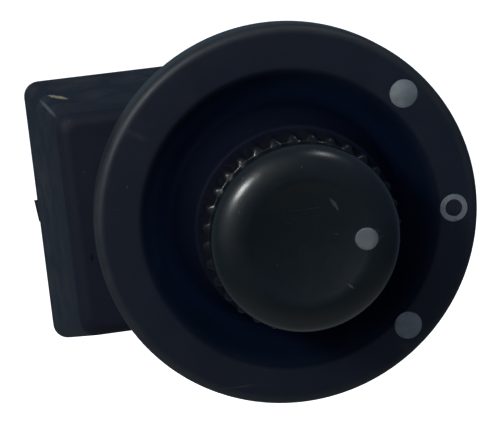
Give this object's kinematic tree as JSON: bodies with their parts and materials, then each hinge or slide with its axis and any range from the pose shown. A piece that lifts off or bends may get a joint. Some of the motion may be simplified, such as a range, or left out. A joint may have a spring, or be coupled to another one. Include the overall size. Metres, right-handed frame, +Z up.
{
  "type": "battery switch",
  "caption": "Panel-mounted rotary selector switch: ribbed knob on a round dished plate, rectangular case behind the panel, screw terminals at the back.",
  "frame": {"origin": "on the knob's axis, in the plane of the case's front face, where the panel lies between the case and the round plate", "axes": "-Y out of the front along the knob's axis, +Y towards the terminals, +Z up the panel, +X to the right seen from the front; at rest the knob points to off, 3.9 degrees below +X"},
  "size_m": [0.0911, 0.0859, 0.08],
  "materials": {
    "case_plastic": "moulded, slightly worn",
    "face_plastic": "moulded, satin",
    "knob_plastic": "moulded, semi-gloss",
    "marking": "grey filled marks",
    "insulator": "filled moulding",
    "rubber": "matt",
    "brass": "turned",
    "copper": "stamped copper",
    "steel": "stainless"
  },
  "bodies": {
    "housing": {"case": "case_plastic", "rear_cover": "case_plastic", "cover_seal": "rubber", "cover_screw_1": "steel", "cover_screw_2": "steel", "cover_screw_3": "steel", "cover_screw_4": "steel", "escutcheon": "face_plastic", "mark_battery_1": "marking", "mark_off": "marking", "mark_battery_2": "marking", "panel_gasket": "rubber", "bushing": "brass", "bushing_washer": "steel", "bushing_nut": "brass", "contact_base": "insulator", "contact_common": "copper", "contact_battery_1": "copper", "contact_battery_2": "copper", "stud_battery_1": "brass", "stud_common": "brass", "stud_battery_2": "brass", "washer_battery_1": "steel", "washer_common": "steel", "washer_battery_2": "steel", "lock_washer_battery_1": "steel", "lock_washer_common": "steel", "lock_washer_battery_2": "steel", "nut_battery_1": "brass", "nut_common": "brass", "nut_battery_2": "brass"},
    "rotor_group": {"spindle": "steel", "retaining_ring": "steel", "spindle_seal": "rubber", "knob_clip": "steel", "knob": "knob_plastic", "knob_dot": "marking", "rotor": "insulator", "contact_bridge": "copper", "contact_spring": "steel"},
    "detent_upper": {"detent_plunger_upper": "steel", "detent_spring_upper": "steel"},
    "detent_lower": {"detent_plunger_lower": "steel", "detent_spring_lower": "steel"}
  },
  "joints": [
    {"name": "knob_turn", "type": "hinge", "parent": "housing", "child": "rotor_group", "pos_m": [0, 0, 0], "axis": [0, -1, 0], "range_deg": [-45, 45]},
    {"name": "detent_lift_upper", "type": "slide", "parent": "housing", "child": "detent_upper", "axis": [0, 0, 1], "range_m": [0, 0.001], "stiffness_N_per_m": 300, "springref_m": -0.003, "deforming": ["detent_spring_upper"]},
    {"name": "detent_lift_lower", "type": "slide", "parent": "housing", "child": "detent_lower", "axis": [0, 0, -1], "range_m": [0, 0.001], "stiffness_N_per_m": 300, "springref_m": -0.003, "deforming": ["detent_spring_lower"]}
  ]
}
